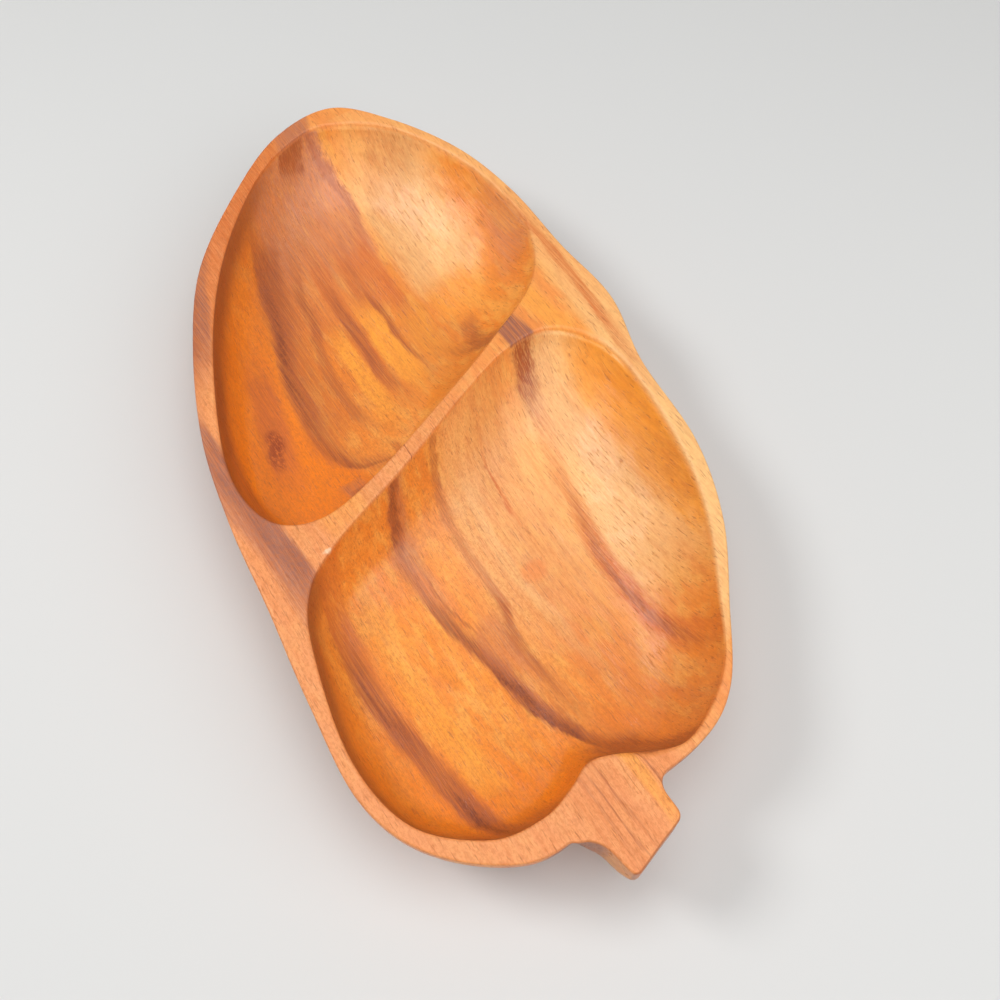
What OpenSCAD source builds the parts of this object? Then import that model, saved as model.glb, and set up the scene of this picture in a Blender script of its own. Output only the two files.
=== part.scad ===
// A divided serving bowl, carved from one block of wood in the outline of a fruit with a short stem.
// Two hollows are cut into it, and a slanting ridge of the same wood stays between them.
// X runs across the bowl, Y from the stem to the tip, and Z up from the table it stands on.

/* [Body] */
// Width of the body at its widest
body_width = 150; // [120:1:190]
// Length of the body from the stem's root to the tip
body_length = 292; // [240:1:360]
// Height of the rim over the table
rim_height = 36; // [30:1:50]

/* [Rim and ridge] */
// Usual width of the rim's flat top
rim_width = 6; // [4:0.5:7]
// Width of the ridge's flat top
ridge_width = 5.2; // [4:0.2:8]

/* [Hollows] */
// Thickness of the wood under the middle of each hollow
floor_thickness = 8; // [5:0.5:12]
// How far each hollow's wall runs in on its steep side before it has become the floor
wall_run = 10; // [8:1:20]
// How far the wall runs in on its gentle side
gentle_wall_run = 38; // [24:1:48]
// How much each floor sinks from the foot of its wall to its middle
floor_dish = 11; // [6:0.5:13]

/* [Side] */
// Depth of the upright band below the rim's outer edge
band_depth = 3.5; // [2:0.5:6]

/* [Stem] */
// Width of the stem at its neck
stem_width = 27; // [20:1:36]
// How far the stem reaches beyond the body
stem_reach = 12; // [8:1:20]
// Thickness of the stem below the level of the rim
stem_thickness = 14; // [8:1:20]

/* [Hidden] */

// The body's outline, clockwise from the tip: shares of half the width and half the length.
outline_shares = [
    [0.05, 1.00], [0.33, 0.905], [0.59, 0.745], [0.75, 0.56], [0.85, 0.35], [0.955, 0.16],
    [0.945, -0.04], [1.00, -0.27], [0.95, -0.47], [0.81, -0.655], [0.66, -0.82], [0.45, -0.903],
    [0.045, -0.962], [-0.27, -1.00], [-0.60, -0.925], [-0.79, -0.79], [-0.87, -0.57], [-0.92, -0.36],
    [-0.98, -0.14], [-1.00, 0.09], [-0.935, 0.345], [-0.81, 0.57], [-0.56, 0.775], [-0.27, 0.94]
];

// The ridge lies on a straight line between two places of the outline, given as shares of the way round.
ridge_foot_share = 0.708;
ridge_head_share = 0.177;

// Where a hollow's lip follows the rim: the share of the way round the outline, and how far in it lies,
// as a share of the rim's width. Values well over 1 leave the broad lands at the ridge's two ends.
upper_rim_shares = [
    [0.744, 2.0], [0.768, 0.95], [0.802, 1.05], [0.846, 1.2], [0.89, 1.15], [0.931, 0.85],
    [0.964, 1.1], [0.991, 1.5], [0.04, 0.85], [0.074, 0.75], [0.111, 0.7], [0.148, 0.95], [0.175, 3.0]
];
lower_rim_shares = [
    [0.236, 1.7], [0.259, 0.8], [0.294, 1.0], [0.328, 0.85], [0.367, 0.55], [0.405, 0.4], [0.455, 0.46],
    [0.4735, 1.1], [0.484, 1.9], [0.495, 2.32], [0.506, 1.83], [0.525, 1.56], [0.56, 1.1], [0.599, 0.75],
    [0.64, 0.7], [0.678, 1.1], [0.705, 1.95]
];

// Where a hollow's lip follows the ridge: the share of the way from the ridge's foot to its head, and how
// far from its middle line the lip lies, as a share of the ridge's width.
upper_ridge_shares = [[0.723, 0.62], [0.52, 0.48], [0.324, 0.57], [0.20, 1.35]];
lower_ridge_shares = [[0.16, -0.46], [0.388, -0.52], [0.575, -0.4], [0.717, -0.65], [0.81, -2.07]];

// The deepest place of each hollow: shares of half the body's width and half its length.
upper_middle_shares = [-0.12, 0.33];
lower_middle_shares = [0.04, -0.44];

// The side from the upright band down to the base: the share of the base's inset, and of the height left.
side_shares = [[0, 1], [0.08, 0.83], [0.19, 0.62], [0.34, 0.41], [0.52, 0.22], [0.74, 0.08], [1, 0]];

// How much of the body's half length the spine spans, which the side draws in towards.
spine_share = 0.52;

// The stem's outline, clockwise from its root inside the body: shares of its width from its own middle,
// and of its reach from the body's end.
stem_shares = [
    [-0.50, 2.05], [0.55, 1.73], [0.68, 0.96], [0.60, 0.90], [0.54, 0.83], [0.50, 0.735], [0.475, 0.60],
    [0.475, 0.45], [0.49, 0.29], [0.52, 0.02], [0.52, -0.13], [0.49, -0.24], [-0.05, -0.97], [-0.09, -1.00],
    [-0.13, -0.99], [-0.17, -0.86], [-0.24, -0.50], [-0.33, -0.175], [-0.46, 0.01], [-0.60, 0.05], [-0.62, 0.65]
];
// The stem's middle, as a share of half the body's width from the middle of the body.
stem_place_share = 0.1;

// How the wall falls from a hollow's lip: steep at first, and level where it meets the floor.
wall_power = 0.7;
// The way from a hollow's middle to the gentle side of its wall, as an angle from X, and how fast the run
// of the wall changes round the hollow between its steep side and its gentle side.
gentle_turn = 25;
gentle_power = 2;
// Steps between two outline points, down a wall, and across a floor.
outline_steps = 5;
lip_steps = 6;
wall_steps = 9;
floor_steps = 4;
// How far the cuts stand over the rim.
overrun = 2;

half_width = body_width / 2;
half_length = body_length / 2;
wall_depth = rim_height - floor_thickness - floor_dish;
// The flat base starts well inside the foot of the hollows' steep walls.
base_run_share = 2.4;
base_inset = rim_width + wall_run * base_run_share;

// A point between b and c, on the smooth curve that also passes through a and d.
function curve_point(a, b, c, d, t) =
    0.5 * (2 * b + (c - a) * t + (2 * a - 5 * b + 4 * c - d) * t ^ 2 + (3 * b - a - 3 * c + d) * t ^ 3);

// The point of a closed curve through the points at a share of the way round.
function curve_at(points, share) =
    let (n = len(points), place = (share - floor(share)) * n, i = floor(place))
    curve_point(points[(i + n - 1) % n], points[i % n], points[(i + 1) % n], points[(i + 2) % n], place - i);

// The whole closed curve, with so many steps from each point to the next.
function closed_curve(points, steps) =
    let (count = len(points) * steps)
    [for (i = [0:count - 1]) curve_at(points, i / count)];

function unit(v) = v / norm(v);
function lifted(p, z) = [p[0], p[1], z];
function low_corner(points) = [min([for (p = points) p[0]]), min([for (p = points) p[1]])];
function high_corner(points) = [max([for (p = points) p[0]]), max([for (p = points) p[1]])];
function scaled(p) = [p[0] * half_width, p[1] * half_length];

// The outline, moved and stretched a little so that the curve fills the body's width and length.
raw_outline = closed_curve(outline_shares, outline_steps);
raw_low = low_corner(raw_outline);
raw_high = high_corner(raw_outline);
outline_points = [
    for (p = outline_shares)
        scaled([for (k = [0, 1]) (2 * p[k] - raw_low[k] - raw_high[k]) / (raw_high[k] - raw_low[k])])
];
outline = closed_curve(outline_points, outline_steps);

// The direction into the body, square to the outline, at a share of the way round it.
normal_step_share = 0.002;
function inward(share) =
    let (along = unit(curve_at(outline_points, share + normal_step_share)
                      - curve_at(outline_points, share - normal_step_share)))
    [along[1], -along[0]];

function rim_point(row) = curve_at(outline_points, row[0]) + inward(row[0]) * row[1] * rim_width;

ridge_foot = curve_at(outline_points, ridge_foot_share);
ridge_head = curve_at(outline_points, ridge_head_share);
ridge_along = unit(ridge_head - ridge_foot);
ridge_across = [-ridge_along[1], ridge_along[0]];
function ridge_point(row) =
    ridge_foot + (ridge_head - ridge_foot) * row[0] + ridge_across * row[1] * ridge_width;

upper_lip = closed_curve(
    concat([for (row = upper_rim_shares) rim_point(row)], [for (row = upper_ridge_shares) ridge_point(row)]),
    lip_steps);
lower_lip = closed_curve(
    concat([for (row = lower_rim_shares) rim_point(row)], [for (row = lower_ridge_shares) ridge_point(row)]),
    lip_steps);

// The place on the body's spine that is nearest to a point.
spine_half = half_length * spine_share;
function spine_point(p) = [0, max(-spine_half, min(spine_half, p[1]))];
function side_ring(inset, z) = [for (p = outline) lifted(p + unit(spine_point(p) - p) * inset, z)];

// A closed solid through rings of points, listed from the lowest up, with a middle point at each end.
module loft(rings, low_middle, high_middle) {
    n = len(rings[0]);
    m = len(rings);
    low = n * m;
    high = low + 1;
    polyhedron(
        points = concat([for (ring = rings) each ring], [low_middle, high_middle]),
        faces = concat(
            [for (i = [0:n - 1]) [low, (i + 1) % n, i]],
            [for (k = [0:m - 2], i = [0:n - 1]) [k * n + i, k * n + (i + 1) % n, (k + 1) * n + i]],
            [for (k = [0:m - 2], i = [0:n - 1])
                [(k + 1) * n + i, k * n + (i + 1) % n, (k + 1) * n + (i + 1) % n]],
            [for (i = [0:n - 1]) [high, (m - 1) * n + i, (m - 1) * n + (i + 1) % n]]
        )
    );
}

// The body before it is hollowed, with its drawn-in side and flat base.
module blank() {
    side_height = rim_height - band_depth;
    loft(
        concat(
            [for (k = [len(side_shares) - 1:-1:0])
                side_ring(side_shares[k][0] * base_inset, side_shares[k][1] * side_height)],
            [side_ring(0, rim_height)]
        ),
        [0, 0, 0],
        [0, 0, rim_height]
    );
}

// The short stem, level with the rim and thinner than the body.
module stem() {
    root = [stem_place_share * half_width, -half_length];
    translate([0, 0, rim_height - stem_thickness])
        linear_extrude(height = stem_thickness)
            polygon([for (p = stem_shares) root + [p[0] * stem_width, p[1] * stem_reach]]);
}

// How far the wall runs in from a point of the lip that has its middle in the given direction.
function run_in(inwards) =
    let (gentle_way = [cos(gentle_turn), sin(gentle_turn)])
    wall_run + (gentle_wall_run - wall_run) * ((1 - inwards * gentle_way) / 2) ^ gentle_power;

// One ring of a hollow: a share of the wall's run in from the lip, then a share of the way to the middle.
function hollow_ring(lip, middle, run_share, floor_share) = [
    for (p = lip)
        let (reach = norm(middle - p),
             run = min(run_share * run_in(unit(middle - p)), reach),
             place = run + (reach - run) * floor_share,
             fall = (1 - (1 - run_share) ^ 2) ^ wall_power,
             sink = 1 - (1 - place / reach) ^ 2)
        lifted(p + unit(middle - p) * place, rim_height - wall_depth * fall - floor_dish * sink)
];

// The space that one hollow takes out of the body.
module hollow(lip, middle) {
    loft(
        concat(
            [for (k = [floor_steps - 1:-1:0]) hollow_ring(lip, middle, 1, k / floor_steps)],
            [for (k = [wall_steps - 1:-1:0]) hollow_ring(lip, middle, 1 - cos(90 * k / wall_steps), 0)],
            [[for (p = lip) lifted(p, rim_height + overrun)]]
        ),
        lifted(middle, floor_thickness),
        lifted(middle, rim_height + overrun)
    );
}

// The whole bowl, moved so that its box is centred over the origin, with the base at height zero.
module carved_bowl() {
    color("#c47a3a")
        translate([0, stem_reach / 2, 0])
            difference() {
                union() {
                    blank();
                    stem();
                }
                hollow(upper_lip, scaled(upper_middle_shares));
                hollow(lower_lip, scaled(lower_middle_shares));
            }
}

carved_bowl();
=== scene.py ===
import math

import bmesh
import bpy
import numpy as np
from mathutils import Matrix, Vector
from mathutils.geometry import delaunay_2d_cdt


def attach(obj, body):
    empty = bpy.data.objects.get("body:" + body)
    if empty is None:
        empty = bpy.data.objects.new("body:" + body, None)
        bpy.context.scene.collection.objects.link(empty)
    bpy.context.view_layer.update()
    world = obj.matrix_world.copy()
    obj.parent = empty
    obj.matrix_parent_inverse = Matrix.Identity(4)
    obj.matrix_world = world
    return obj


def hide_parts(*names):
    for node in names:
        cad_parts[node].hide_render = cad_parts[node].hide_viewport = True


# A divided serving bowl, carved from one block of oiled hardwood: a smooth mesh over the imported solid,
# its wood, and a plain studio. Shapes are worked out in millimetres and turned into metres at the end.

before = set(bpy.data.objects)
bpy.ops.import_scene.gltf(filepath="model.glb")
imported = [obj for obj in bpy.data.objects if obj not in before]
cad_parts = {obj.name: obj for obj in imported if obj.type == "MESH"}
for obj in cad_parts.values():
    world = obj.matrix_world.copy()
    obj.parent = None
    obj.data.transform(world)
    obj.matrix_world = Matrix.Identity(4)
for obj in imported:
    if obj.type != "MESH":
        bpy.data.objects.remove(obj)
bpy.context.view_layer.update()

NODE = "carved_bowl"
BODY = "root"
MM = 0.001

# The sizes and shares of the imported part. A place on the outline is a share of the way round it, and a rim's
# row is such a place with the rim's width there as a share of RIM_WIDTH. A ridge's row is a share of the way
# along the ridge with the lip's distance from its middle line as a share of RIDGE_WIDTH.
BODY_SIZE = np.array([150.0, 292.0])
RIM_HEIGHT = 36.0
RIM_WIDTH = 6.0
RIDGE_WIDTH = 5.2
FLOOR_THICKNESS = 8.0
WALL_RUN = 10.0
GENTLE_WALL_RUN = 38.0
GENTLE_TURN = math.radians(25)
GENTLE_POWER = 2.0
FLOOR_DISH = 11.0
STEM_WIDTH = 27.0
STEM_REACH = 12.0
STEM_THICKNESS = 15.5
STEM_END_THICKNESS = 10.0
WALL_DEPTH = RIM_HEIGHT - FLOOR_THICKNESS - FLOOR_DISH
WALL_POWER = 0.7
SPINE_SHARE = 0.52
SPINE_HALF = SPINE_SHARE * BODY_SIZE[1] / 2

OUTLINE_SHARES = [
    (0.05, 1.00), (0.33, 0.905), (0.59, 0.745), (0.75, 0.56), (0.85, 0.35), (0.955, 0.16),
    (0.945, -0.04), (1.00, -0.27), (0.95, -0.47), (0.81, -0.655), (0.66, -0.82), (0.45, -0.903),
    (0.045, -0.962), (-0.27, -1.00), (-0.60, -0.925), (-0.79, -0.79), (-0.87, -0.57), (-0.92, -0.36),
    (-0.98, -0.14), (-1.00, 0.09), (-0.935, 0.345), (-0.81, 0.57), (-0.56, 0.775), (-0.27, 0.94),
]
RIDGE_FOOT, RIDGE_HEAD = 0.708, 0.177
UPPER_RIM = [
    (0.744, 2.0), (0.768, 0.95), (0.802, 1.05), (0.846, 1.2), (0.89, 1.15), (0.931, 0.85),
    (0.964, 1.1), (0.991, 1.5), (0.04, 0.85), (0.074, 0.75), (0.111, 0.7), (0.148, 0.95), (0.175, 3.0),
]
LOWER_RIM = [
    (0.236, 1.7), (0.259, 0.8), (0.294, 1.0), (0.328, 0.85), (0.367, 0.55), (0.405, 0.4), (0.455, 0.46),
    (0.4735, 1.1), (0.484, 1.9), (0.495, 2.32), (0.506, 1.83), (0.525, 1.56), (0.56, 1.1), (0.599, 0.75),
    (0.64, 0.7), (0.678, 1.1), (0.705, 1.95),
]
UPPER_RIDGE = [(0.723, 0.62), (0.52, 0.48), (0.324, 0.57), (0.20, 1.35)]
LOWER_RIDGE = [(0.16, -0.46), (0.388, -0.52), (0.575, -0.4), (0.717, -0.65), (0.81, -2.07)]
UPPER_MIDDLE, LOWER_MIDDLE = (-0.12, 0.33), (0.04, -0.44)

# Where the stem's middle is, as a share of the body's half width, and the stem's outline, clockwise: shares
# of its width from its own middle, and of its reach.
STEM_PLACE = 0.1
STEM_SHARES = [
    (0.68, 0.96), (0.60, 0.90), (0.537, 0.83), (0.496, 0.735), (0.476, 0.62), (0.473, 0.48), (0.486, 0.325),
    (0.507, 0.15), (0.524, -0.01), (0.521, -0.13), (0.495, -0.225), (0.452, -0.295), (0.28, -0.52),
    (0.10, -0.765), (-0.045, -0.965), (-0.085, -1.00), (-0.115, -1.00), (-0.14, -0.97), (-0.16, -0.90),
    (-0.18, -0.81), (-0.205, -0.69), (-0.24, -0.50), (-0.282, -0.315), (-0.33, -0.175), (-0.39, -0.065),
    (-0.46, 0.01), (-0.53, 0.045), (-0.615, 0.04),
]


# Smooth curves.


def between(a, b, c, d, t):
    """The point at share t of the way from b to c, on the smooth curve through four points in a row."""
    return 0.5 * (2 * b + (c - a) * t + (2 * a - 5 * b + 4 * c - d) * t**2 + (3 * b - a - 3 * c + d) * t**3)


def curve_at(points, shares):
    """Points of the closed smooth curve through the given points, at shares of the way round."""
    points = np.asarray(points, float)
    place = (np.atleast_1d(shares) % 1.0) * len(points)
    i = np.floor(place).astype(int)
    t = (place - i)[:, None]
    a, b, c, d = (points[(i + k) % len(points)] for k in (-1, 0, 1, 2))
    return between(a, b, c, d, t)


def closed_curve(points, steps):
    count = len(points) * steps
    return curve_at(points, np.arange(count) / count)


def open_curve(points, steps):
    """A smooth curve from the second of the points to the last but one."""
    points = np.asarray(points, float)
    starts = range(1, len(points) - 2)
    rows = [between(*points[i - 1 : i + 3], k / steps) for i in starts for k in range(steps)]
    return np.array(rows + [points[-2]])


def unit(v):
    return v / np.maximum(np.linalg.norm(v, axis=-1, keepdims=True), 1e-9)


def right_of(along):
    """The vectors turned a quarter clockwise."""
    return np.stack([along[:, 1], -along[:, 0]], 1)


def inward_of(loop):
    """Unit vectors into the area that a clockwise loop encloses."""
    return right_of(unit(np.roll(loop, -1, 0) - np.roll(loop, 1, 0)))


# The outline's smooth curve is fitted to the body's size by its own extremes.
raw = closed_curve(OUTLINE_SHARES, 5)
raw_low, raw_high = raw.min(0), raw.max(0)
outline_points = (2 * np.array(OUTLINE_SHARES) - raw_low - raw_high) / (raw_high - raw_low) * BODY_SIZE / 2


def outline_at(shares):
    return curve_at(outline_points, shares)


# The share of the way round over which the outline's direction is taken.
NEXT_TO = 0.002


def rim_points(rows):
    """The lip's points beside the rim."""
    shares = np.array([r[0] for r in rows])
    inward = right_of(unit(outline_at(shares + NEXT_TO) - outline_at(shares - NEXT_TO)))
    return outline_at(shares) + inward * np.array([[r[1] * RIM_WIDTH] for r in rows])


ridge_foot, ridge_head = outline_at([RIDGE_FOOT, RIDGE_HEAD])
ridge_along = unit(ridge_head - ridge_foot)
ridge_across = np.array([-ridge_along[1], ridge_along[0]])


def ridge_points(rows):
    """The lip's points beside the ridge."""
    ridge = ridge_head - ridge_foot
    return np.array([ridge_foot + ridge * share + ridge_across * wide * RIDGE_WIDTH for share, wide in rows])


LIP_STEPS = 12
upper_lip = closed_curve(np.concatenate([rim_points(UPPER_RIM), ridge_points(UPPER_RIDGE)]), LIP_STEPS)
lower_lip = closed_curve(np.concatenate([rim_points(LOWER_RIM), ridge_points(LOWER_RIDGE)]), LIP_STEPS)
upper_middle = np.array(UPPER_MIDDLE) * BODY_SIZE / 2
lower_middle = np.array(LOWER_MIDDLE) * BODY_SIZE / 2


# The mesh.


# A filled area's own points keep this share of the spacing from its edge. Points closer than SNAP are one.
EDGE_GAP = 0.6
SNAP = 1e-6


class Shell:
    """A mesh under construction: rings of points, bands of faces between them, and filled areas."""

    def __init__(self):
        self.points, self.faces = [], []

    def ring(self, xy, z):
        start = len(self.points)
        z = np.broadcast_to(z, len(xy))
        self.points += [(x, y, h) for (x, y), h in zip(xy, z)]
        return list(range(start, start + len(xy)))

    def band(self, a, b):
        n = len(a)
        self.faces += [(a[i], a[(i + 1) % n], b[(i + 1) % n], b[i]) for i in range(n)]

    def fill(self, outer, holes, spacing, height):
        """Fills the area inside a ring and outside other rings with even triangles."""
        loops = [outer] + holes
        known = [k for loop in loops for k in loop]
        flat = np.array([self.points[k][:2] for k in known])
        edges, start = [], 0
        for loop in loops:
            n = len(loop)
            edges += [(start + i, start + (i + 1) % n) for i in range(n)]
            start += n
        low, high = flat.min(0), flat.max(0)
        row = spacing * math.sqrt(3) / 2
        grid = [
            (low[0] + spacing * (i + 0.5 * (j % 2)), low[1] + row * j)
            for j in range(int((high[1] - low[1]) / row) + 2)
            for i in range(int((high[0] - low[0]) / spacing) + 2)
        ]
        grid = np.array(grid)
        polygons = [np.array([self.points[k][:2] for k in loop]) for loop in loops]
        inside = contains(polygons[0], grid)
        for hole in polygons[1:]:
            inside &= ~contains(hole, grid)
        gap = np.min(np.linalg.norm(grid[:, None] - flat[None], axis=2), axis=1)
        grid = grid[inside & (gap > EDGE_GAP * spacing)]
        places = [Vector(p) for p in np.concatenate([flat, grid])]
        found, _, tris, origin, _, _ = delaunay_2d_cdt(places, edges, [], 0, SNAP)
        index = {}
        for k, sources in enumerate(origin):
            first = min(sources) if sources else None
            if first is not None and first < len(known):
                index[k] = known[first]
            else:
                x, y = found[k]
                index[k] = len(self.points)
                self.points.append((x, y, float(height(np.array([[x, y]]))[0])))
        middles = np.array([np.mean([found[k] for k in t], axis=0) for t in tris])
        keep = contains(polygons[0], middles)
        for hole in polygons[1:]:
            keep &= ~contains(hole, middles)
        self.faces += [tuple(index[k] for k in t) for t, ok in zip(tris, keep) if ok]


def contains(polygon, points):
    """Which points lie inside a closed polygon."""
    a, b = polygon, np.roll(polygon, -1, 0)
    x, y = points[:, 0, None], points[:, 1, None]
    crosses = (a[:, 1] > y) != (b[:, 1] > y)
    rise = np.where(b[:, 1] == a[:, 1], 1e-12, b[:, 1] - a[:, 1])
    at = a[:, 0] + (y - a[:, 1]) * (b[:, 0] - a[:, 0]) / rise
    return np.sum(crosses & (x < at), axis=1) % 2 == 1


# The edges are eased by a small radius, and by a larger one at the lips on the worn side and at one soft
# spot, but never by more than a share of the room that the rim has there. SUPPORT is the flat strip kept
# beside an edge.
EDGE_RADIUS = 0.8
SOFT_EDGE_RADIUS = 2.2
SOFT_EDGE_WAY = unit(np.array([0.8, 0.6]))
SOFT_SPOT = np.array([20.0, -128.0])
SOFT_SPOT_SIZE = 9.0
ROOM_SHARE = 0.38
SUPPORT = 0.25
ARC_STEPS = 4
LIP_TURN = math.radians(80)
# Rings from the lip down to the floor. The arc of the lip stands for the first of them.
WALL_STEPS = 24
FIRST_WALL_STEP = 3
FINE_SPACING, BASE_SPACING = 2.6, 6.0
LAND_WAVE = 0.12
shell = Shell()


def land_height(xy):
    """The land was levelled by hand, so it is nearly flat but not quite."""
    x, y = xy[:, 0], xy[:, 1]
    return RIM_HEIGHT - LAND_WAVE * (1 + np.sin(x / 23 + 1.0) * np.cos(y / 31 + 0.4))


def nearest_spine(xy):
    """The nearest places on the line along the body's middle, towards which the side is drawn in."""
    return np.stack([np.zeros(len(xy)), np.clip(xy[:, 1], -SPINE_HALF, SPINE_HALF)], 1)


# The outer loop: the body's outline, with the stem between the two places where it leaves the body.
stem_root = np.array([STEM_PLACE * BODY_SIZE[0] / 2, -BODY_SIZE[1] / 2])
stem_points = stem_root + np.array(STEM_SHARES) * [STEM_WIDTH, STEM_REACH]
FINE_STEPS = 4000
fine_shares = np.arange(FINE_STEPS) / FINE_STEPS
fine_outline = outline_at(fine_shares)
stem_start = fine_shares[np.argmin(np.linalg.norm(fine_outline - stem_points[0], axis=1))]
stem_end = fine_shares[np.argmin(np.linalg.norm(fine_outline - stem_points[-1], axis=1))]

BODY_STEPS = 300
STEM_STEPS = 3
STEM_MARGIN = 0.03
body_shares = stem_end + (1 - (stem_end - stem_start)) * np.linspace(0, 1, BODY_STEPS + 1)
body_part = outline_at(body_shares)
stem_way = np.concatenate([body_part[-2:], stem_points[1:-1], body_part[:2]])
stem_curve = open_curve(stem_way, STEM_STEPS)[1:-1]
stem_length = np.concatenate([[0], np.cumsum(np.linalg.norm(np.diff(stem_curve, axis=0), axis=1))])
# Each point of the stem has one on the body's own outline behind it, for the side under the stem.
stem_share = stem_length / stem_length[-1] * (1 - 2 * STEM_MARGIN) + STEM_MARGIN
stem_body = outline_at(stem_start + (stem_end - stem_start) * stem_share)
loop = np.concatenate([body_part, stem_curve])
body_loop = np.concatenate([body_part, stem_body])
into = inward_of(loop)
spine_way = unit(nearest_spine(body_loop) - body_loop)


def hollow(lip, middle):
    """One hollow from its eased lip to its floor. Returns the ring on the land round it."""
    reach = np.linalg.norm(middle - lip, axis=1)
    inwards = unit(middle - lip)
    outwards = -inward_of(lip)
    angle = np.arctan2(-inwards[:, 1], -inwards[:, 0])
    order = np.argsort(angle)

    def reach_at(xy):
        turn = np.arctan2(xy[:, 1] - middle[1], xy[:, 0] - middle[0])
        return np.interp(turn, angle[order], reach[order], period=2 * math.pi)

    def floor_height(xy):
        share = np.linalg.norm(xy - middle, axis=1) / reach_at(xy)
        return FLOOR_THICKNESS + FLOOR_DISH * share**2

    top = land_height(lip)
    softness = np.clip(outwards @ SOFT_EDGE_WAY, 0, 1) ** 2
    softness = np.maximum(softness, np.exp(-(np.linalg.norm(lip - SOFT_SPOT, axis=1) / SOFT_SPOT_SIZE) ** 2))
    room = np.min(np.linalg.norm(lip[:, None] - loop[None], axis=2), axis=1)
    radius = EDGE_RADIUS + (SOFT_EDGE_RADIUS - EDGE_RADIUS) * softness
    radius = np.minimum(radius, ROOM_SHARE * room - SUPPORT)[:, None]
    land_xy = lip + outwards * (radius + SUPPORT)
    land = shell.ring(land_xy, land_height(land_xy))
    last = land
    for k in range(ARC_STEPS + 1):
        a = LIP_TURN * k / ARC_STEPS
        place = lip + outwards * radius * (1 - math.sin(a))
        ring = shell.ring(place, top - radius[:, 0] * (1 - math.cos(a)))
        shell.band(last, ring)
        last = ring
    gentle_way = [math.cos(GENTLE_TURN), math.sin(GENTLE_TURN)]
    gentle = (0.5 - 0.5 * (inwards @ gentle_way)) ** GENTLE_POWER
    wall_run = WALL_RUN + (GENTLE_WALL_RUN - WALL_RUN) * gentle
    for k in range(FIRST_WALL_STEP, WALL_STEPS + 1):
        share = 1 - math.cos(math.radians(90) * k / WALL_STEPS)
        run = np.minimum(share * wall_run, reach)
        fall = (1 - (1 - share) ** 2) ** WALL_POWER
        sink = 1 - (1 - run / reach) ** 2
        ring = shell.ring(lip + inwards * run[:, None], RIM_HEIGHT - WALL_DEPTH * fall - FLOOR_DISH * sink)
        shell.band(last, ring)
        last = ring
    shell.fill(last, [], FINE_SPACING, floor_height)
    return land


# The side from its band down to the base, as (inset, height), and the base's eased edge, as (further inset,
# height).
SIDE = np.array([
    (0, 32.4), (0.9, 29.7), (2.4, 27.0), (5.7, 20.15), (10.2, 13.3), (15.6, 7.15), (22.2, 2.6), (28.6, 0.5),
])
BASE_EDGE = ((1.0, 0.14), (2.2, 0.0))


def side_place(z):
    """Where the body's side is at a height, which may differ from point to point of the loop."""
    inset = np.interp(np.broadcast_to(z, len(body_loop)), SIDE[::-1, 1], SIDE[::-1, 0])
    return body_loop + spine_way * inset[:, None]


land_xy = loop + into * (EDGE_RADIUS + SUPPORT)
land_ring = shell.ring(land_xy, land_height(land_xy))
last = land_ring
top = land_height(loop)
for k in range(ARC_STEPS + 1):
    a = math.radians(90) * k / ARC_STEPS
    ring = shell.ring(loop + into * EDGE_RADIUS * (1 - math.sin(a)), top - EDGE_RADIUS * (1 - math.cos(a)))
    shell.band(last, ring)
    last = ring

# The stem is thickest in the middle of its reach. At its two corners it runs out into the body's side. The
# rings' heights on the body are UPPER_SIDE and LOWER_SIDE. On the stem the first of them go down by shares of
# its thickness, the next round its lower edge, and the rest back under it to the body.
UPPER_SIDE = [34.2, 33.2, 32.2, 31.2, 30.1, 29.0, 27.8, 26.6, 25.4, 24.1, 22.8, 21.4, 20.0]
LOWER_SIDE = [18.2, 16.3, 14.3, 12.2, 10.0, 7.9, 6.0, 4.3, 3.0, 1.9, 1.1, 0.5]
STEM_DOWN = [0.12, 0.3, 0.48, 0.66, 0.82]
STEM_BEGINS = 0.1
STEM_EASE = 1.5
EASE_STEPS = 3
CORNER_RUN = 6.0
UNDER_STEPS = len(UPPER_SIDE) - len(STEM_DOWN) - EASE_STEPS
reach_share = np.clip((STEM_BEGINS - (loop[:, 1] - stem_root[1]) / STEM_REACH) / (1 + STEM_BEGINS), 0, 1)
thickness = STEM_END_THICKNESS + (STEM_THICKNESS - STEM_END_THICKNESS) * np.sin(math.pi * reach_share)
stem_bottom = RIM_HEIGHT - thickness
corner = np.zeros(len(loop))
corner[BODY_STEPS + 1 :] = np.minimum(stem_length, stem_length[-1] - stem_length) / CORNER_RUN
corner = np.clip(corner, 0, 1)
corner = corner**2 * (3 - 2 * corner)
for k, z in enumerate(UPPER_SIDE):
    body_xy = side_place(z)
    beyond = k - len(STEM_DOWN) + 1
    if beyond < 1:
        stem_xy, stem_z = loop, RIM_HEIGHT - STEM_DOWN[k] * thickness
    elif beyond <= EASE_STEPS:
        a = math.radians(90 / EASE_STEPS * beyond)
        stem_xy = loop + into * STEM_EASE * (1 - math.cos(a))
        stem_z = stem_bottom + STEM_EASE * (1 - math.sin(a))
    else:
        share = (beyond - EASE_STEPS) / UNDER_STEPS
        stem_z = stem_bottom + (UPPER_SIDE[-1] - stem_bottom) * share**2
        start = loop + into * STEM_EASE
        stem_xy = start + (side_place(stem_z) - start) * share
    xy = body_xy + (stem_xy - body_xy) * corner[:, None]
    ring = shell.ring(xy, z + (stem_z - z) * corner)
    shell.band(last, ring)
    last = ring
for z in LOWER_SIDE:
    ring = shell.ring(side_place(z), z)
    shell.band(last, ring)
    last = ring
for further, z in BASE_EDGE:
    ring = shell.ring(body_loop + spine_way * (SIDE[-1, 0] + further), z)
    shell.band(last, ring)
    last = ring
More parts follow.
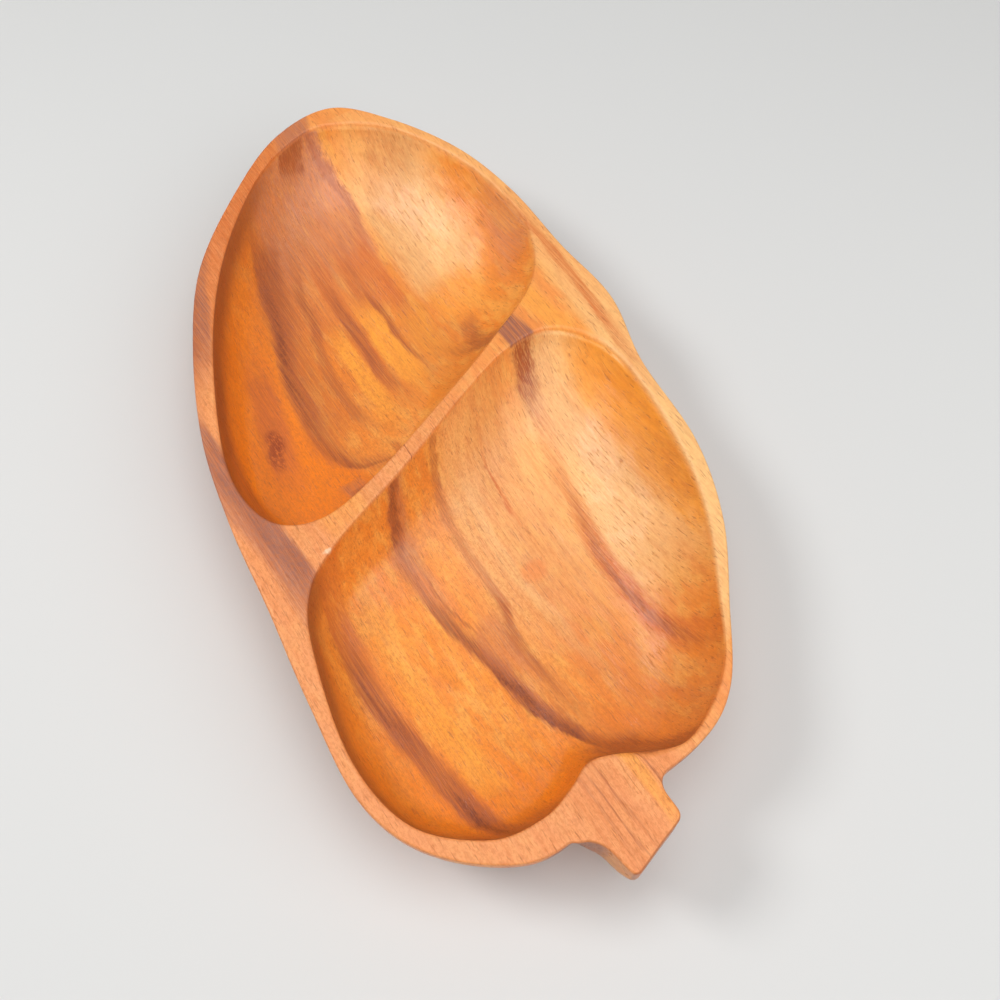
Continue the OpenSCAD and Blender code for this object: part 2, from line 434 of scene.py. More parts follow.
shell.fill(last, [], BASE_SPACING, lambda xy: np.zeros(len(xy)))

upper_land = hollow(upper_lip, upper_middle)
lower_land = hollow(lower_lip, lower_middle)
shell.fill(land_ring, [upper_land, lower_land], FINE_SPACING, land_height)

# The frame's origin is the middle of the whole bowl, with its stem.
CENTRE_SHIFT = STEM_REACH / 2
MERGE_DISTANCE = 1e-7
mesh = bpy.data.meshes.new("carved_wood")
mesh.from_pydata([(x * MM, (y + CENTRE_SHIFT) * MM, z * MM) for x, y, z in shell.points], [], shell.faces)
work = bmesh.new()
work.from_mesh(mesh)
bmesh.ops.remove_doubles(work, verts=work.verts, dist=MERGE_DISTANCE)
bmesh.ops.recalc_face_normals(work, faces=work.faces)
work.to_mesh(mesh)
work.free()
mesh.shade_smooth()
bowl = bpy.data.objects.new("carved_wood", mesh)
bpy.context.scene.collection.objects.link(bowl)


# The wood.


class Graph:
    """Short ways to put nodes into a material or a world. A value is a number, a tuple or a node's socket."""

    def __init__(self, owner):
        owner.use_nodes = True
        self.tree = owner.node_tree

    def node(self, kind, values=(), **settings):
        made = self.tree.nodes.new(kind)
        for name, value in settings.items():
            setattr(made, name, value)
        for key, value in dict(values).items():
            self.put(made.inputs[key], value)
        return made

    def put(self, socket, value):
        if isinstance(value, bpy.types.NodeSocket):
            self.tree.links.new(value, socket)
        else:
            socket.default_value = value

    def math(self, operation, a, b=0.0, c=0.0, clamp=False):
        values = {0: a, 1: b, 2: c}
        return self.node("ShaderNodeMath", values, operation=operation, use_clamp=clamp).outputs[0]

    def dot(self, a, b):
        return self.node("ShaderNodeVectorMath", {0: a, 1: b}, operation="DOT_PRODUCT").outputs["Value"]

    def vector(self, x, y, z):
        return self.node("ShaderNodeCombineXYZ", {0: x, 1: y, 2: z}).outputs[0]

    def noise(self, place, scale, detail=2.0, rough=0.5):
        values = {"Vector": place, "Scale": scale, "Detail": detail, "Roughness": rough}
        return self.node("ShaderNodeTexNoise", values).outputs[0]

    def step(self, value, low, high, to_low=0.0, to_high=1.0):
        values = {0: value, 1: low, 2: high, 3: to_low, 4: to_high}
        return self.node("ShaderNodeMapRange", values, interpolation_type="SMOOTHSTEP").outputs[0]

    def curve(self, value, points):
        """A smooth curve through given points, all between 0 and 1."""
        made = self.node("ShaderNodeFloatCurve", {"Value": value})
        line = made.mapping.curves[0]
        line.points[0].location, line.points[1].location = points[0], points[-1]
        for point in points[1:-1]:
            line.points.new(*point)
        made.mapping.use_clip = False
        made.mapping.update()
        return made.outputs[0]

    def mix(self, share, a, b):
        made = self.node("ShaderNodeMix", data_type="RGBA")
        for key, value in ((0, share), (6, a), (7, b)):
            self.put(made.inputs[key], value)
        return made.outputs[2]

    def ramp(self, value, stops):
        made = self.node("ShaderNodeValToRGB", {0: value})
        bar = made.color_ramp
        bar.elements[0].position, bar.elements[0].color = stops[0][0], (*stops[0][1], 1)
        bar.elements[1].position, bar.elements[1].color = stops[-1][0], (*stops[-1][1], 1)
        for place, colour in stops[1:-1]:
            bar.elements.new(place).color = (*colour, 1)
        return made.outputs[0]


# The growth layers lie steeply in the block: u counts millimetres across them, v runs along the grain from
# the stem's end to the tip, and w is the third direction. Below the rim a layer shifts towards smaller x.
# Fine fibres use the level direction across the grain instead, and the height.
LAYER_ACROSS = (967.0, 253.0, -370.0)
LEVEL_ACROSS = (967.0, 253.0, 0.0)
UPWARDS = (0.0, 0.0, 1000.0)
GRAIN_ALONG = (-253.0, 967.0, 0.0)
GRAIN_THIRD = (336.0, 88.0, 937.0)
END_WAY = (-0.253, 0.967, 0.0)
RIM_DROP = 0.37 * RIM_HEIGHT
# The marks' curves reach from -SPAN to SPAN millimetres each way, and fade out past their ends over FADE.
V_SPAN, U_SPAN = 170.0, 100.0
FADE = 12.0
# The heights over which a hollow's look gives way to the land's, and over which painted shade lies under a
# lip, and the places along the grain over which the stem turns to darker end grain with some painted shade.
LAND_BAND = (RIM_HEIGHT - 2.0, RIM_HEIGHT - 0.6)
UNDER_LIP_BAND = (22.0, 32.0)
END_BAND = (-128.0, -138.0)
ROUGHNESS, LAND_ROUGHER, PORES_ROUGHER = 0.31, 0.15, 0.2

# The wood's colours.
HONEY = [(0.3, (0.95, 0.385, 0.065)), (0.5, (0.92, 0.305, 0.038)), (0.7, (0.86, 0.24, 0.022))]
AMBER, STRAW, GOLD = (0.88, 0.225, 0.008), (0.95, 0.55, 0.21), (0.95, 0.37, 0.045)
PLUM, UMBER, RUST = (0.50, 0.17, 0.075), (0.37, 0.095, 0.028), (0.64, 0.155, 0.028)
BARK, ROSE, MAUVE = (0.20, 0.045, 0.016), (0.84, 0.33, 0.13), (0.62, 0.25, 0.12)
GRAPE = (0.30, 0.105, 0.065)
DARK_TINTS = (PLUM, UMBER, RUST, BARK, MAUVE, GRAPE)
FIGURE_TINT, STIPPLE_TINT, BLUSH_TINT = (0.97, 0.46, 0.09), (0.56, 0.14, 0.018), (0.80, 0.20, 0.035)
# The last of these is the colour of the painted shade under the lips.
KNOT_TINT, NICK_TINT, LIP_SHADE_TINT = (0.30, 0.05, 0.012), (0.92, 0.66, 0.42), (0.30, 0.075, 0.02)

# Marks in the hollows, each laid over the ones before. A mark has its colour, a path of (v, u) places, the
# offsets across the grain where it starts, is full, is still full and ends, and its strength at the places.
HOLLOW_MARKS = [
    # Warm and pale areas of the upper hollow, then of the lower one. The broad straw areas on the upper
    # hollow's right wall and in the middle and on the right of the lower one are partly painted highlight.
    (AMBER, [(125, -6), (100, -9), (80, -14), (60, -20), (40, -21), (25, -20), (5, -15)],
     (-62, -50, -4, 3), [0.3, 0.5, 0.7, 0.9, 0.9, 1.0, 1.0]),
    # Partly painted highlight where the lamp's gloss falls on the upper hollow's right wall.
    (STRAW, [(134, 50), (120, 52), (100, 53), (80, 54), (60, 53)],
     (-17, -8, 7, 15), [0.3, 0.7, 0.95, 0.95, 0.1]),
    (GOLD, [(72, 35), (55, 34), (38, 33)], (-6, -3, 3, 7), [0.0, 0.9, 0.4]),
    (GOLD, [(72, 50), (58, 50), (45, 50)], (-9, -5, 6, 10), [0.0, 0.6, 0.3]),
    (AMBER, [(-20, -64), (-60, -66), (-100, -62)], (-25, -15, 2, 9), [0.2, 0.4, 0.7]),
    (AMBER, [(-88, -18), (-104, -18), (-120, -18)], (-52, -40, 20, 34), [0.0, 0.6, 0.8]),
    # These two are partly painted highlight in the middle and on the right wall of the lower hollow.
    (STRAW, [(8, 20), (-20, 18), (-45, 16), (-72, 14), (-95, 12)],
     (-26, -16, 20, 30), [0.3, 0.65, 0.6, 0.3, 0.0]),
    (STRAW, [(14, 50), (-4, 51), (-30, 51), (-58, 46), (-88, 38)],
     (-16, -8, 5, 10), [0.8, 1.0, 1.0, 0.9, 0.2]),
    (GOLD, [(10, 60), (-20, 60), (-50, 58), (-85, 52)], (-8, -3, 9, 16), [0.5, 0.8, 0.8, 0.4]),
    (GOLD, [(-45, -45), (-70, -43), (-95, -42)], (-6, -3, 3, 7), [0.0, 0.7, 0.7]),
    (STRAW, [(-10, 7), (-35, 7), (-60, 8), (-90, 9)], (-3, -1, 1, 3), [0.2, 0.7, 0.6, 0.2]),
    # Purple-brown along the upper hollow's right lip, partly painted shade under the lip.
    (MAUVE, [(86, 73), (70, 72), (58, 70), (46, 65)], (-6, -2, 6, 12), [0.1, 0.4, 0.5, 0.1]),
    # The purple-brown area by the tip, with its sharp right edge, and its neighbours.
    (MAUVE, [(140, 33), (130, 38), (120, 41), (105, 41), (90, 39), (75, 38), (58, 37)],
     (-52, -38, -2, 0.6), [0.8, 0.8, 0.8, 0.7, 0.4, 0.2, 0.0]),
    (PLUM, [(139, 30), (132, 35), (125, 38), (115, 39.5), (105, 38.5), (95, 37.5), (84, 36.5)],
     (-3, -1, 0, 1.4), [0.8, 0.9, 0.8, 0.6, 0.4, 0.3, 0.0]),
    (UMBER, [(140, 20), (133, 20), (126, 21)], (-7, -4, 5, 8), [0.9, 0.7, 0.0]),
    (RUST, [(102, 36), (88, 35.5), (72, 35.5), (62, 35)], (-4, -1.5, 0.8, 2.5), [0.2, 0.45, 0.45, 0.1]),
    (RUST, [(100, 29), (88, 29), (74, 28), (64, 27)], (-8, -5, 6, 9), [0.2, 0.5, 0.5, 0.0]),
    (UMBER, [(108, -3), (95, -6), (80, -8), (60, -13), (40, -15), (22, -15)],
     (-7, -5, 2, 10), [0.3, 0.55, 0.5, 0.4, 0.35, 0.1]),
    (UMBER, [(112, 6), (95, 5), (75, 4), (55, 2), (35, 0), (20, 2)],
     (-26, -16, 20, 34), [0.1, 0.22, 0.25, 0.2, 0.15, 0.0]),
    (GOLD, [(76, 8), (56, 7), (40, 6), (25, 3)], (-5, -2.5, 2, 5), [0.0, 0.95, 0.95, 0.4]),
    (GOLD, [(84, 21.5), (62, 21), (45, 20.5), (32, 20)], (-5, -2.5, 3, 6), [0.0, 0.95, 0.95, 0.4]),
    # The streaks of the upper hollow, from left to right.
    (UMBER, [(84, -42), (74, -47), (60, -50), (46, -55), (30, -58), (10, -58)],
     (-3.5, -1, 1, 4.5), [0.1, 0.6, 0.8, 0.7, 0.6, 0.5]),
    (RUST, [(66, -29), (48, -33), (36, -36), (22, -40)], (-8, -3, 3, 8), [0.3, 0.8, 0.8, 0.4]),
    (UMBER, [(106, -8), (95, -10), (80, -13), (70, -16.5), (60, -20), (50, -21), (40, -22), (30, -23),
             (20, -21.5), (12, -16)],
     (-4, -0.5, 3, 8), [0.5, 0.75, 0.85, 0.8, 0.8, 0.7, 0.6, 0.45, 0.5, 0.4]),
    (BARK, [(104, -8), (90, -10.5), (80, -12.5), (70, -16), (60, -19.5), (50, -20.5), (36, -22), (22, -21.5),
            (14, -18.5), (10, -13)],
     (-2, -0.4, 0.8, 3.4), [0.2, 0.35, 0.5, 0.55, 0.55, 0.4, 0.35, 0.45, 0.5, 0.3]),
    (UMBER, [(114, 2), (106, -2), (98, -4)], (-7, -3, 2, 6), [0.0, 0.6, 0.3]),
    (UMBER, [(100, 6), (88, 3), (77, 1.5), (66, -2), (52, -5), (40, -6), (28, -5)],
     (-3.5, -0.8, 1, 4.2), [0.3, 0.65, 0.7, 0.6, 0.5, 0.5, 0.2]),
    (RUST, [(102, 15), (85, 14.7), (65, 14), (48, 12.7), (28, 13)],
     (-5, -2, 2, 5), [0.2, 0.55, 0.6, 0.4, 0.1]),
    (UMBER, [(102, 15), (85, 14.7), (75, 13.5), (65, 14), (50, 12.7), (42, 12), (28, 13)],
     (-3.2, -0.8, 0.8, 3.2), [0.2, 0.45, 0.7, 0.75, 0.65, 0.5, 0.1]),
    (UMBER, [(96, 27), (81, 26), (69, 26.7), (58, 26), (46, 26), (36, 27)],
     (-1.8, -0.4, 0.4, 2.2), [0.2, 0.5, 0.7, 0.7, 0.5, 0.1]),
    # Dark patch by the ridge's end, partly painted shade on the wall there.
    (UMBER, [(54, 46), (44, 45.5), (37, 43), (30, 40)], (-4, -1, 1.2, 5), [0.0, 0.4, 0.55, 0.6]),
    # The streaks of the lower hollow, from left to right.
    (UMBER, [(-22, -60), (-30, -68), (-42, -72), (-56, -75), (-70, -77)],
     (-4, -1.5, 2, 5), [0.3, 0.45, 0.4, 0.3, 0.1]),
    (RUST, [(-22, -55), (-40, -55.5), (-55, -56), (-75, -55), (-95, -52.5), (-118, -50)],
     (-7, -3, 3, 7), [0.4, 0.6, 0.5, 0.6, 0.5, 0.6]),
    (UMBER, [(-40, -57), (-53, -58), (-63, -58), (-72, -56.7), (-83, -55), (-93, -54), (-104, -52.7),
             (-113, -51), (-122, -49.5)],
     (-4.5, -1.5, 2.5, 6), [0.3, 0.6, 0.8, 0.85, 0.75, 0.7, 0.95, 1.0, 0.9]),
    (BARK, [(-56, -58), (-66, -57.5), (-75, -56.2), (-88, -54.5), (-100, -53), (-110, -51.5), (-121, -50)],
     (-1.4, -0.3, 0.5, 2.2), [0.3, 0.5, 0.3, 0.2, 0.7, 0.9, 0.7]),
    (UMBER, [(-110, -48), (-118, -45), (-128, -44)], (-6, -3, 6, 14), [0.0, 0.5, 0.85]),
    (PLUM, [(-2, -24), (-20, -23), (-35, -22), (-52, -19)], (-5, -2, 2, 6), [0.6, 0.5, 0.5, 0.1]),
    (UMBER, [(-6, -24.5), (-16, -25), (-27, -26), (-40, -24.7), (-47, -22.7), (-56, -20.7), (-67, -18.3),
             (-77, -16.7), (-91, -15.5), (-99, -14.5), (-106, -12), (-116, -9)],
     (-3.2, -0.8, 1.4, 4.5), [0.8, 0.8, 0.4, 0.35, 0.5, 0.6, 0.85, 1.0, 1.0, 1.0, 0.8, 0.5]),
    (BARK, [(-10, -25), (-17, -25), (-30, -26), (-45, -23.5), (-56, -21), (-68, -18.3), (-78, -16.7),
            (-91, -16), (-99, -15), (-108, -12.5)],
     (-1.6, -0.4, 0.6, 2.6), [0.6, 0.5, 0.1, 0.5, 0.55, 0.6, 0.85, 1.0, 1.0, 0.5]),
    # Dark end of this streak by the cusp, partly painted shade in the crease there.
    (UMBER, [(-104, -9), (-112, -10), (-122, -6)], (-9, -5, 6, 14), [0.0, 0.55, 0.95]),
    (UMBER, [(-34, -21), (-46, -19), (-58, -16)], (-0.8, -0.2, 0.2, 0.9), [0.3, 0.6, 0.3]),
    (PLUM, [(-54, -8), (-64, -12), (-74, -11), (-88, -9), (-106, -8)],
     (-7, -4, 4, 7), [0.1, 0.5, 0.4, 0.2, 0.1]),
    (UMBER, [(4, -4.5), (-7, -4.7), (-17, -4.7), (-33, -3.3), (-47, -2.7), (-56, -3.3), (-63, -5.5),
             (-72, -7), (-84, -7.3), (-98, -7)],
     (-2.4, -0.6, 0.8, 3), [0.4, 0.5, 0.45, 0.35, 0.6, 0.75, 0.6, 0.5, 0.4, 0.1]),
    (RUST, [(-10, 18), (-22, 18), (-36, 18.5)], (-1, -0.3, 0.3, 1), [0.3, 0.7, 0.2]),
    (RUST, [(-5, 43), (-27, 38.5), (-40, 36), (-57, 32.3), (-69, 30.7), (-80, 30), (-93, 29.5), (-104, 30)],
     (-4, -1, 1.5, 4.5), [0.2, 0.35, 0.45, 0.65, 0.85, 0.85, 0.7, 0.4]),
    (UMBER, [(-36, 37), (-49, 34), (-57, 32.2), (-69, 30.7), (-82, 30), (-97, 29.5)],
     (-1.5, -0.3, 0.4, 1.8), [0.2, 0.45, 0.5, 0.65, 0.65, 0.4]),
    (UMBER, [(26, 38), (12, 40), (2, 41), (-8, 42)], (-5, -1, 2, 6), [0.6, 0.8, 0.6, 0.1]),
]
# Marks on the flat land of the rim, the ridge and the stem.
LAND_MARKS = [
    # Pale band on the right land, partly painted highlight along the lip.
    (STRAW, [(130, 52), (90, 70), (40, 72), (0, 68), (-60, 58), (-100, 36)],
     (-10, -5, 9, 13), [0.3, 0.5, 0.55, 0.75, 0.95, 0.8]),
    (RUST, [(152, 18), (140, 10), (120, -12), (100, -34), (80, -46), (60, -55)],
     (-20, -12, 9, 16), [0.5, 0.7, 0.7, 0.6, 0.5, 0.2]),
    (PLUM, [(150, 28), (140, 25), (130, 20)], (-11, -6, 3, 6), [0.9, 0.9, 0.5]),
    (GRAPE, [(112, -30), (100, -38), (84, -46), (70, -52), (58, -58)],
     (-9, -5, 3, 6), [0.2, 0.5, 0.7, 0.6, 0.2]),
    (UMBER, [(98, -41), (84, -48), (66, -55)], (-3, -1, 1, 3), [0.3, 0.6, 0.3]),
    (PLUM, [(46, -66), (30, -69), (12, -68), (0, -66.5), (-20, -65.5), (-40, -65)],
     (-8, -4, 2.5, 5), [0.4, 0.9, 1.0, 1.0, 0.8, 0.5]),
    (GRAPE, [(36, -67), (20, -66), (8, -64.5), (-6, -64), (-18, -63.5), (-30, -63)],
     (-7, -3, 1, 4), [0.6, 0.8, 0.9, 1.0, 0.9, 0.3]),
    (GOLD, [(14, -51), (4, -50), (-8, -49)], (-5, -1, 9, 16), [0.3, 0.6, 0.5]),
    (RUST, [(12, -56), (2, -55.5), (-8, -55)], (-2.5, -0.5, 0.5, 2), [0.3, 0.6, 0.3]),
    (GRAPE, [(30, 38), (18, 39), (8, 41)], (-6, -3, 3, 6), [0.6, 0.8, 0.6]),
    (UMBER, [(8, -14.5), (-2, -14.8), (-10, -15)], (-0.7, -0.2, 0.2, 0.8), [0.3, 0.8, 0.4]),
    (RUST, [(60, 72), (30, 71), (0, 68), (-20, 66)], (-3, -1, 1, 3), [0.4, 0.6, 0.5, 0.2]),
    (GOLD, [(40, 50), (20, 52), (0, 56)], (-5, -2, 3, 7), [0.5, 0.6, 0.3]),
    # The stem: pale patches between thin dark lines.
    (GOLD, [(-112, -17), (-128, -17), (-142, -17)], (-3, -1, 1, 3), [0.2, 0.7, 0.4]),
    (RUST, [(-112, -8), (-124, -9), (-150, -11)], (-5, -2, 1, 4), [0.4, 0.3, 0.1]),
    (RUST, [(-112, -30), (-128, -30), (-150, -29)], (-10, -5, 5, 9), [0.2, 0.25, 0.15]),
    (UMBER, [(-114, -33), (-126, -32), (-142, -31.5)], (-0.8, -0.1, 0.1, 0.9), [0.2, 0.4, 0.2]),
    (UMBER, [(-112, -30), (-128, -28.8), (-146, -28.5)], (-0.8, -0.1, 0.1, 0.9), [0.2, 0.5, 0.3]),
    (UMBER, [(-112, -27), (-124, -26.3), (-140, -25.5)], (-0.8, -0.1, 0.1, 0.9), [0.2, 0.5, 0.2]),
    (UMBER, [(-114, -14), (-124, -13.5), (-136, -14)], (-0.6, -0.1, 0.1, 0.7), [0.4, 0.7, 0.2]),
]
# Round marks: (v, u), half length, half width, and strength.
KNOTS = [((37, -36.5), 6.5, 4.4, 0.95), ((30, -40), 6.0, 4.0, 0.8), ((33.5, -38), 3.5, 3.0, 0.9)]
BLUSH = ((-51, 13), 5.0, 6.0, 0.6)
NICK = ((-20.5, -54.5), 1.0, 2.2, 0.8)


def share_of(value, span):
    return (value + span) / (2 * span)


g = Graph(bpy.data.materials.new("oiled_tropical_wood"))
shader = g.tree.nodes["Principled BSDF"]
metres = g.node("ShaderNodeTexCoord").outputs["Object"]
u = g.math("ADD", g.dot(metres, LAYER_ACROSS), RIM_DROP)
v = g.dot(metres, GRAIN_ALONG)
w = g.dot(metres, GRAIN_THIRD)
level = g.dot(metres, LEVEL_ACROSS)
height = g.dot(metres, UPWARDS)
land = g.step(height, *LAND_BAND)


def along_grain(across, along, third=None):
    """A place in the wood, stretched along the grain by different scales."""
    third = across if third is None else third
    return g.vector(*(g.math("MULTIPLY", way, scale) for way, scale in ((u, across), (v, along), (w, third))))


def on_surface(across, along, down):
    """A place for the fine fibres, which keep their width on a sloping wall."""
    ways = ((level, across), (v, along), (height, down))
    return g.vector(*(g.math("MULTIPLY", way, scale) for way, scale in ways))


# The layers wander slowly by a millimetre or two, and flutter finely.
wander = g.noise(along_grain(0.03, 0.012), 1.0, 3.0)
flutter = g.noise(along_grain(0.3, 0.05), 1.0, 4.0, 0.65)
layer = g.math("ADD", u, g.math("MULTIPLY_ADD", wander, 4.0, -2.0))
layer = g.math("ADD", layer, g.math("MULTIPLY_ADD", flutter, 5.0, -2.5))
v_share = g.math("MULTIPLY_ADD", v, 0.5 / V_SPAN, 0.5)

# Fine growth lines, broken into fibres, and slow mottling of the colour.
fine = g.noise(on_surface(1.1, 0.05, 0.3), 1.0, 5.0, 0.7)
lines = g.step(fine, 0.38, 0.66)
hair = g.step(g.noise(on_surface(2.4, 0.045, 0.3), 1.0, 2.0, 0.6), 0.40, 0.60)
fibre = g.noise(on_surface(3.2, 0.3, 0.6), 1.0, 3.0, 0.6)
mottle = g.noise(on_surface(0.16, 0.05, 0.1), 1.0, 3.0, 0.6)
grain = g.math("MULTIPLY_ADD", hair, 0.6, g.math("MULTIPLY_ADD", fibre, 0.7, 0.45))


def lay(colour, rows, where):
    """Lays the marks over a colour, broken up by the grain. A path runs from the tip to the stem, and a curve
    wants its points the other way round."""
    for tint, path, (start, full, still, stop), strengths in rows:
        path, strengths = path[::-1], strengths[::-1]
        line = g.curve(v_share, [(share_of(a, V_SPAN), share_of(b, U_SPAN)) for a, b in path])
        along = [path[0][0] - FADE] + [place[0] for place in path] + [path[-1][0] + FADE]
        strength = g.curve(v_share, [(share_of(a, V_SPAN), b) for a, b in zip(along, [0.0, *strengths, 0.0])])
        off = g.math("SUBTRACT", layer, g.math("MULTIPLY_ADD", line, 2 * U_SPAN, -U_SPAN))
        body = g.math("MULTIPLY", g.step(off, start, full), g.step(off, still, stop, 1.0, 0.0))
        share = g.math("MULTIPLY", g.math("MULTIPLY", body, strength, clamp=True), where)
        if tint in DARK_TINTS:
            share = g.math("MULTIPLY", share, grain, clamp=True)
        colour = g.mix(share, colour, (*tint, 1))
    return colour


def round_mark(place, half_length, half_width, strength):
    across = g.math("DIVIDE", g.math("SUBTRACT", layer, place[1]), half_width)
    along = g.math("DIVIDE", g.math("SUBTRACT", v, place[0]), half_length)
    far = g.math("ADD", g.math("MULTIPLY", across, across), g.math("MULTIPLY", along, along))
    return g.step(far, 0.1, 1.0, strength, 0.0)


slow = g.noise(along_grain(0.10, 0.012, 0.06), 1.0, 2.0)
colour = g.ramp(g.math("MULTIPLY_ADD", slow, 0.5, g.math("MULTIPLY", mottle, 0.5)), HONEY)
figure = g.step(g.noise(on_surface(0.22, 0.07, 0.1), 1.0, 3.0, 0.55), 0.47, 0.62, 0.0, 0.6)
colour = g.mix(figure, colour, (*FIGURE_TINT, 1))
in_hollow = g.math("SUBTRACT", 1.0, land)
colour = lay(colour, HOLLOW_MARKS, in_hollow)
colour = g.mix(g.math("MULTIPLY", round_mark(*BLUSH), 0.8), colour, (*BLUSH_TINT, 1))

# The land is rosier than the hollows, most of all on the left; the rose is partly a painted sheen on the flat
# land.
colour = g.mix(g.math("MULTIPLY", land, g.step(u, 45.0, -30.0, 0.3, 0.75)), colour, (*ROSE, 1))
colour = lay(colour, LAND_MARKS, land)

# Brown stippling and patches, the knot's speckled rings, a nick in the land, growth lines, pores and fibres.
stipple = g.step(g.noise(on_surface(1.3, 0.7, 0.9), 1.0, 3.0, 0.75), 0.43, 0.63)
stippled = g.math("MULTIPLY", stipple, g.step(u, 38.0, -10.0, 0.10, 0.40))
colour = g.mix(stippled, colour, (*STIPPLE_TINT, 1))
patches = g.step(g.noise(on_surface(0.42, 0.16, 0.25), 1.0, 3.0, 0.6), 0.48, 0.66)
colour = g.mix(g.math("MULTIPLY", patches, 0.12), colour, (*UMBER, 1))
speckle = g.step(g.noise(on_surface(1.5, 0.6, 0.8), 1.0, 3.0, 0.75), 0.36, 0.58)
for knot in KNOTS:
    colour = g.mix(g.math("MULTIPLY", round_mark(*knot), speckle), colour, (*KNOT_TINT, 1))
colour = g.mix(g.math("MULTIPLY", round_mark(*NICK), land), colour, (*NICK_TINT, 1))
colour = g.mix(g.math("MULTIPLY_ADD", lines, 0.36, -0.12, clamp=True), colour, (*RUST, 1))
pores = g.step(g.noise(on_surface(2.3, 0.20, 0.4), 1.0, 2.0, 0.6), 0.59, 0.70)
colour = g.mix(g.math("MULTIPLY", pores, 0.5), colour, (*UMBER, 1))
colour = g.mix(g.step(fibre, 0.45, 0.75, 0.0, 0.22), colour, (*RUST, 1))

# Painted shade on the steep walls that face right and towards the tip, most of all just under the lip. The end
# grain round the stem is darker, and its side there also carries some painted shade.
facing = g.node("ShaderNodeTexCoord").outputs["Normal"]
steep = g.step(g.dot(facing, (0.0, 0.0, 1.0)), 0.30, 0.62, 1.0, 0.0)
shade_facing = g.step(g.dot(facing, (0.85, 0.53, 0.0)), 0.1, 0.5, 0.0, 0.55)
under_lip = g.step(height, *UNDER_LIP_BAND, 0.25, 1.5)
lip_shade = g.math("MULTIPLY", g.math("MULTIPLY", steep, shade_facing), under_lip, clamp=True)
colour = g.mix(lip_shade, colour, (*LIP_SHADE_TINT, 1))
# Darker end grain on the stem's outer side, with painted shade there as well.
end_grain_and_shade = g.math("MULTIPLY", g.step(v, *END_BAND), g.step(g.dot(facing, END_WAY), -0.2, -0.6))
colour = g.mix(g.math("MULTIPLY", end_grain_and_shade, 0.65), colour, (*UMBER, 1))

# The oiled hollows shine most, the land less and the pores least. Pores, growth lines and fibres stand a
# little in or out of the surface, over the faint waves that the carving left.
g.put(shader.inputs["Base Color"], colour)
roughness = g.math("MULTIPLY_ADD", land, LAND_ROUGHER, ROUGHNESS)
g.put(shader.inputs["Roughness"], g.math("MULTIPLY_ADD", pores, PORES_ROUGHER, roughness))
shader.inputs["Specular IOR Level"].default_value = 0.5
relief = g.math("MULTIPLY_ADD", lines, 0.3, g.math("MULTIPLY", pores, -1.0))
relief = g.math("MULTIPLY_ADD", fibre, 0.5, relief)
waves = g.noise(on_surface(0.11, 0.06, 0.1), 1.0, 1.0)
carving = g.node("ShaderNodeBump", {"Strength": 1.0, "Distance": 0.0009, "Height": waves})
texture = {"Strength": 0.3, "Distance": 0.0004, "Height": relief, "Normal": carving.outputs[0]}
g.put(shader.inputs["Normal"], g.node("ShaderNodeBump", texture).outputs[0])
mesh.materials.append(bpy.data.materials["oiled_tropical_wood"])

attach(bowl, BODY)
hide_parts(NODE)


# The studio.


def area_light(name, place, size, power):
    """A round soft lamp that points at the frame's origin."""
    data = bpy.data.lights.new(name, "AREA")
    data.shape = "DISK"
    data.size = size
    data.energy = power
    lamp = bpy.data.objects.new(name, data)
    lamp.location = place
    lamp.rotation_euler = (-Vector(place)).to_track_quat("-Z", "Y").to_euler()
    bpy.context.scene.collection.objects.link(lamp)


FLOOR_HALF = 3.0
FLOOR_FADE = (0.4, 1.5)
BACKDROP = (0.52, 0.52, 0.51, 1)
PAPER = (0.68, 0.68, 0.67, 1)
SOFT_LIGHT = 0.2
CORNERS = ((-1, -1), (1, -1), (1, 1), (-1, 1))
floor_mesh = bpy.data.meshes.new("studio_floor")
floor_mesh.from_pydata([(x * FLOOR_HALF, y * FLOOR_HALF, 0) for x, y in CORNERS], [], [(0, 1, 2, 3)])
floor = bpy.data.objects.new("studio_floor", floor_mesh)
bpy.context.scene.collection.objects.link(floor)


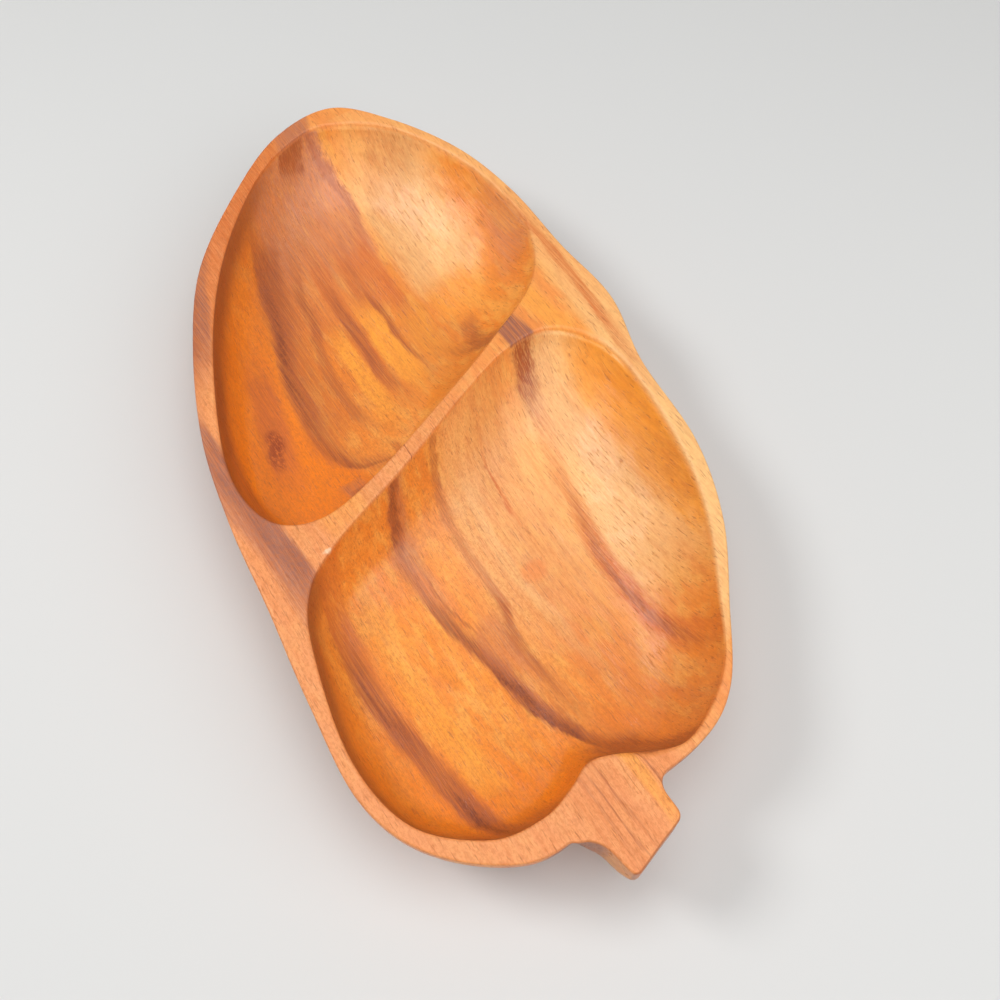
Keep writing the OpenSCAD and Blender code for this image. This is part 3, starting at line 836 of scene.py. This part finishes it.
def background_rays(graph):
    """One for the rays that show the background: the camera's own, and those of gloss and glass."""
    path = graph.node("ShaderNodeLightPath").outputs
    seen = graph.math("ADD", path["Is Camera Ray"], path["Is Glossy Ray"], clamp=True)
    return graph.math("ADD", seen, path["Is Transmission Ray"], clamp=True)


# The paper floor passes into the even backdrop well away from the bowl.
paper = Graph(bpy.data.materials.new("pale_paper"))
sheet = paper.tree.nodes["Principled BSDF"]
sheet.inputs["Base Color"].default_value = PAPER
sheet.inputs["Roughness"].default_value = 0.9
place = paper.node("ShaderNodeTexCoord").outputs["Object"]
away = paper.node("ShaderNodeVectorMath", {0: place}, operation="LENGTH").outputs["Value"]
away = paper.step(away, *FLOOR_FADE)
beyond = paper.node("ShaderNodeEmission", {"Color": BACKDROP}).outputs[0]
share = paper.math("MULTIPLY", away, background_rays(paper))
both = paper.node("ShaderNodeMixShader", {0: share, 1: sheet.outputs[0], 2: beyond}).outputs[0]
paper.put(paper.tree.nodes["Material Output"].inputs["Surface"], both)
floor_mesh.materials.append(bpy.data.materials["pale_paper"])

area_light("key", (0.02, -0.15, 1.1), 0.9, 4.7)
area_light("window", (-0.60, 0.27, 0.78), 0.35, 4.1)
area_light("fill", (0.40, -0.60, 0.80), 1.2, 6.0)

world = bpy.data.worlds.new("studio")
bpy.context.scene.world = world
sky = Graph(world)
background = sky.tree.nodes["Background"]
background.inputs["Color"].default_value = (1, 1, 1, 1)
strength = sky.math("MULTIPLY_ADD", background_rays(sky), BACKDROP[0] - SOFT_LIGHT, SOFT_LIGHT)
sky.put(background.inputs["Strength"], strength)

# The camera's place and directions come from the bowl's perspective in the photo.
camera_data = bpy.data.cameras.new("photo_camera")
camera_data.sensor_width = 36
camera_data.lens = 39.6
camera = bpy.data.objects.new("photo_camera", camera_data)
bpy.context.scene.collection.objects.link(camera)
forward = Vector((0.1622, 0.4569, -0.8746)).normalized()
right = Vector((0.9424, -0.3345, 0)).normalized()
turn = Matrix((right, right.cross(forward), -forward)).transposed().to_4x4()
camera.matrix_world = Matrix.Translation((-0.0475, -0.1908, 0.3353)) @ turn
bpy.context.scene.camera = camera

bpy.context.scene.view_settings.view_transform = "Standard"
